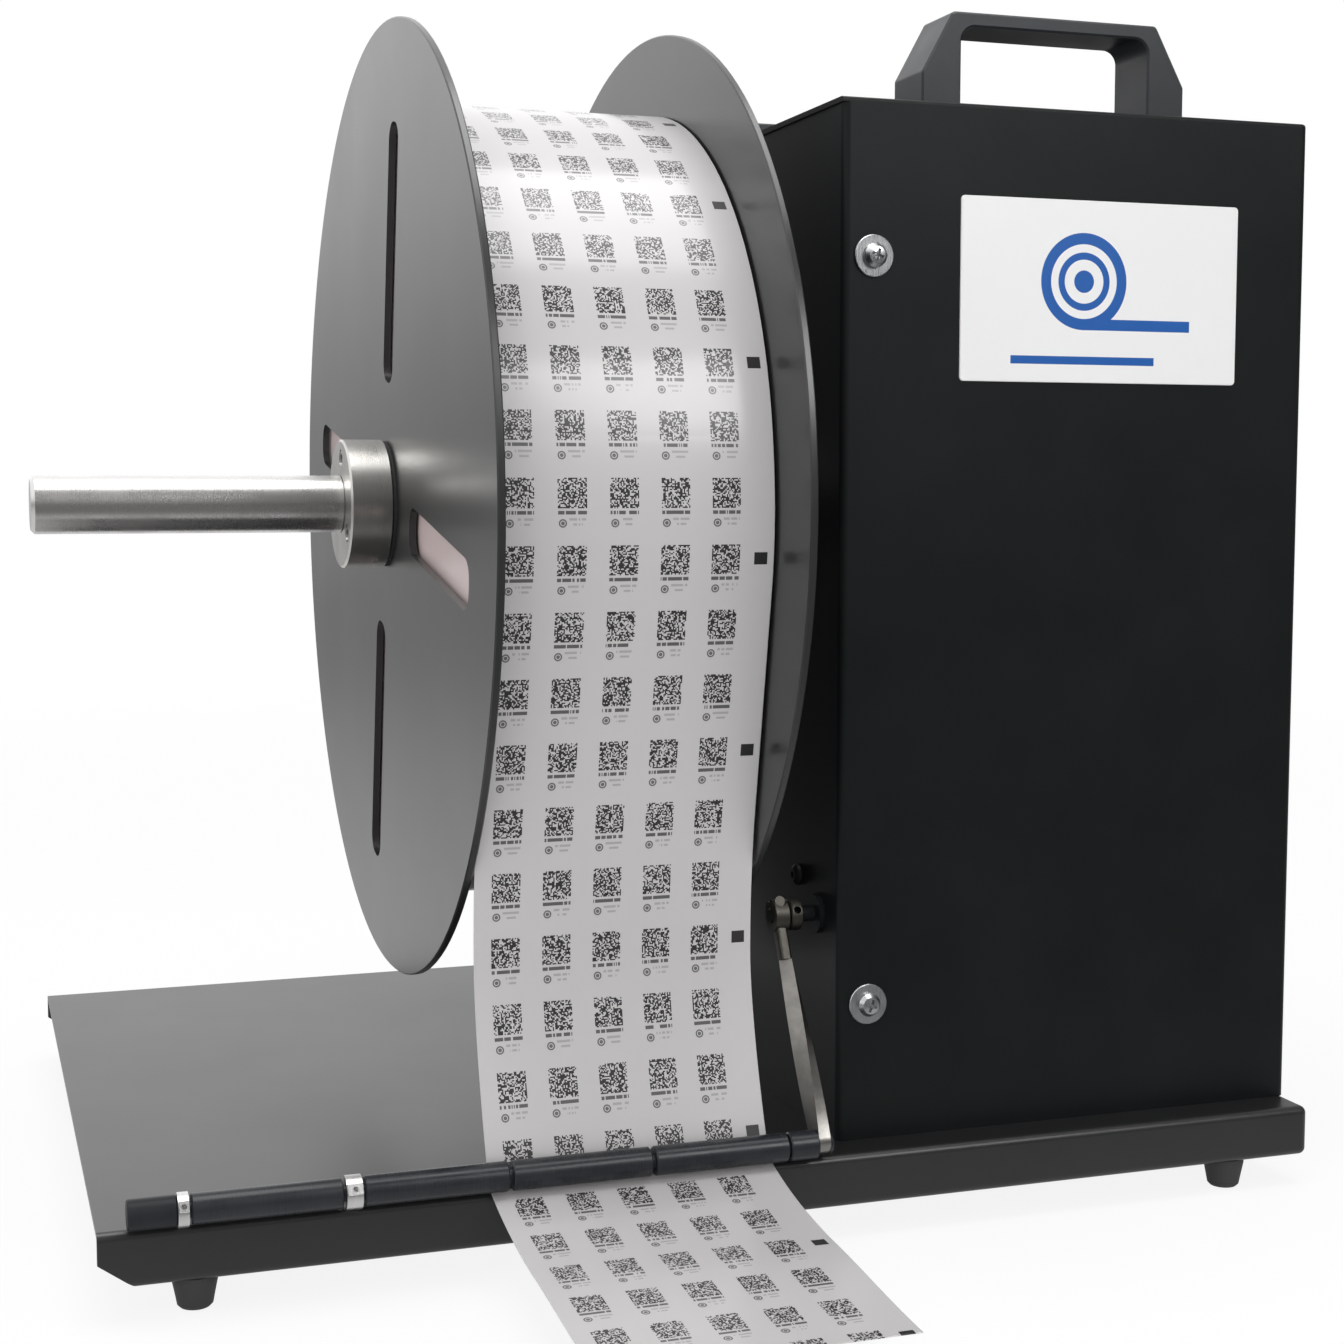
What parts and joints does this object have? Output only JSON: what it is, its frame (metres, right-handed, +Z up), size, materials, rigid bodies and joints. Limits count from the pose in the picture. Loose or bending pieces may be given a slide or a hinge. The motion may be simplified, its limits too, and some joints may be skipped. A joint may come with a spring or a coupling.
{
  "type": "label rewinder",
  "caption": "Bench rewinder for label webs: powered horizontal spindle with slotted flanges, full roll, dancer arm with roller bar, tall sheet housing on a folded tray.",
  "frame": {"origin": "centre of the bounding box's underside, on the bench surface under the rubber feet", "axes": "+X along the spindle from its free end towards the housing, +Y away from the user, +Z up"},
  "size_m": [0.5128, 0.5083, 0.4824],
  "materials": {
    "black_paint": "satin powder coat",
    "bright_steel": "satin",
    "zinc_steel": "zinc plated",
    "plain_steel": "mill finish",
    "black_anodised": "satin black",
    "satin_aluminium": "satin",
    "rubber_black": "matte",
    "black_plastic": "fine texture",
    "gloss_plastic": "gloss",
    "label_paper": "coated, printed",
    "core_card": "plain",
    "green_board": "solder mask",
    "fibre_dark": "matte"
  },
  "bodies": {
    "frame_body": {"base_tray": "black_paint", "rubber_feet": "rubber_black", "foot_screws": "zinc_steel", "housing_cover": "black_paint", "side_panel": "black_paint", "bearing_plate": "plain_steel", "cover_screws": "zinc_steel", "cover_washers": "zinc_steel", "panel_screws": "zinc_steel", "plate_screws": "zinc_steel", "front_handle": "black_plastic", "rear_handle": "black_plastic", "handle_screws": "zinc_steel", "bearing_housing": "satin_aluminium", "mounting_screws": "zinc_steel", "bearing_outer_rings": "bright_steel", "drive_belt": "rubber_black", "motor_bracket": "plain_steel", "gear_motor": "black_plastic", "pivot_bush": "black_plastic", "sensor_bracket": "plain_steel", "arm_sensor": "black_plastic", "sensor_screw": "zinc_steel", "label_web": "label_paper", "power_switch": "black_plastic", "direction_switch": "black_plastic", "speed_potentiometer": "black_plastic", "dc_inlet": "black_plastic", "control_board": "green_board", "board_standoffs": "zinc_steel"},
    "spindle": {"spindle_shaft": "bright_steel", "bearing_inner_rings": "bright_steel", "spindle_pulley": "satin_aluminium", "inner_flange": "black_paint", "inner_hub": "bright_steel", "inner_hub_screws": "zinc_steel", "roll_core": "core_card", "label_roll": "label_paper"},
    "outer_flange_set": {"outer_flange": "black_paint", "outer_hub": "bright_steel", "hub_gasket": "fibre_dark", "outer_hub_screws": "zinc_steel", "hub_lock_screw": "zinc_steel"},
    "dancer": {"dancer_arm": "bright_steel", "dancer_head": "bright_steel", "head_clamp_screw": "zinc_steel", "pivot_shaft": "bright_steel", "arm_collar": "zinc_steel", "roller_rod": "bright_steel", "bar_root_sleeve": "black_anodised", "guide_rings": "bright_steel", "bar_end_cap": "black_anodised"},
    "motor_drive": {"motor_pulley": "satin_aluminium"},
    "power_key": {"power_rocker": "gloss_plastic"},
    "direction_key": {"direction_rocker": "gloss_plastic"},
    "speed_dial": {"speed_knob": "black_plastic"},
    "bar_roller_1": {"roller_1": "black_anodised"},
    "bar_roller_2": {"roller_2": "black_anodised"},
    "bar_roller_3": {"roller_3": "black_anodised"},
    "bar_roller_4": {"roller_4": "black_anodised"}
  },
  "joints": [
    {"name": "spindle_turn", "type": "hinge", "parent": "frame_body", "child": "spindle", "pos_m": [0.03715, 0.04805, 0.2825], "axis": [1, 0, 0], "continuous": true},
    {"name": "outer_flange_slide", "type": "slide", "parent": "spindle", "child": "outer_flange_set", "axis": [-1, 0, 0], "range_m": [0, 0.12]},
    {"name": "dancer_swing", "type": "hinge", "parent": "frame_body", "child": "dancer", "pos_m": [0.03715, -0.07845, 0.1199], "axis": [-1, 0, 0], "range_deg": [0, 60]},
    {"name": "motor_turn", "type": "hinge", "parent": "frame_body", "child": "motor_drive", "pos_m": [0.03715, 0.08805, 0.1325], "axis": [1, 0, 0], "continuous": true},
    {"name": "power_switch_tilt", "type": "hinge", "parent": "frame_body", "child": "power_key", "pos_m": [0.23615, 0.18455, 0.1325], "axis": [0, 1, 0], "range_deg": [-18, 0]},
    {"name": "direction_switch_tilt", "type": "hinge", "parent": "frame_body", "child": "direction_key", "pos_m": [0.23615, -0.03045, 0.1525], "axis": [0, 1, 0], "range_deg": [-9, 9]},
    {"name": "speed_knob_turn", "type": "hinge", "parent": "frame_body", "child": "speed_dial", "pos_m": [0.24115, -0.03045, 0.2075], "axis": [1, 0, 0], "range_deg": [-140, 140]},
    {"name": "bar_roller_1_turn", "type": "hinge", "parent": "dancer", "child": "bar_roller_1", "pos_m": [-0.18805, -0.12005, 0.0391], "axis": [1, 0, 0], "continuous": true},
    {"name": "bar_roller_2_turn", "type": "hinge", "parent": "dancer", "child": "bar_roller_2", "pos_m": [-0.12745, -0.12005, 0.0391], "axis": [1, 0, 0], "continuous": true},
    {"name": "bar_roller_3_turn", "type": "hinge", "parent": "dancer", "child": "bar_roller_3", "pos_m": [-0.07285, -0.12005, 0.0391], "axis": [1, 0, 0], "continuous": true},
    {"name": "bar_roller_4_turn", "type": "hinge", "parent": "dancer", "child": "bar_roller_4", "pos_m": [-0.01825, -0.12005, 0.0391], "axis": [1, 0, 0], "continuous": true}
  ],
  "couplings": [
    {"joint": "motor_turn", "follows": "spindle_turn", "ratio": 2}
  ]
}
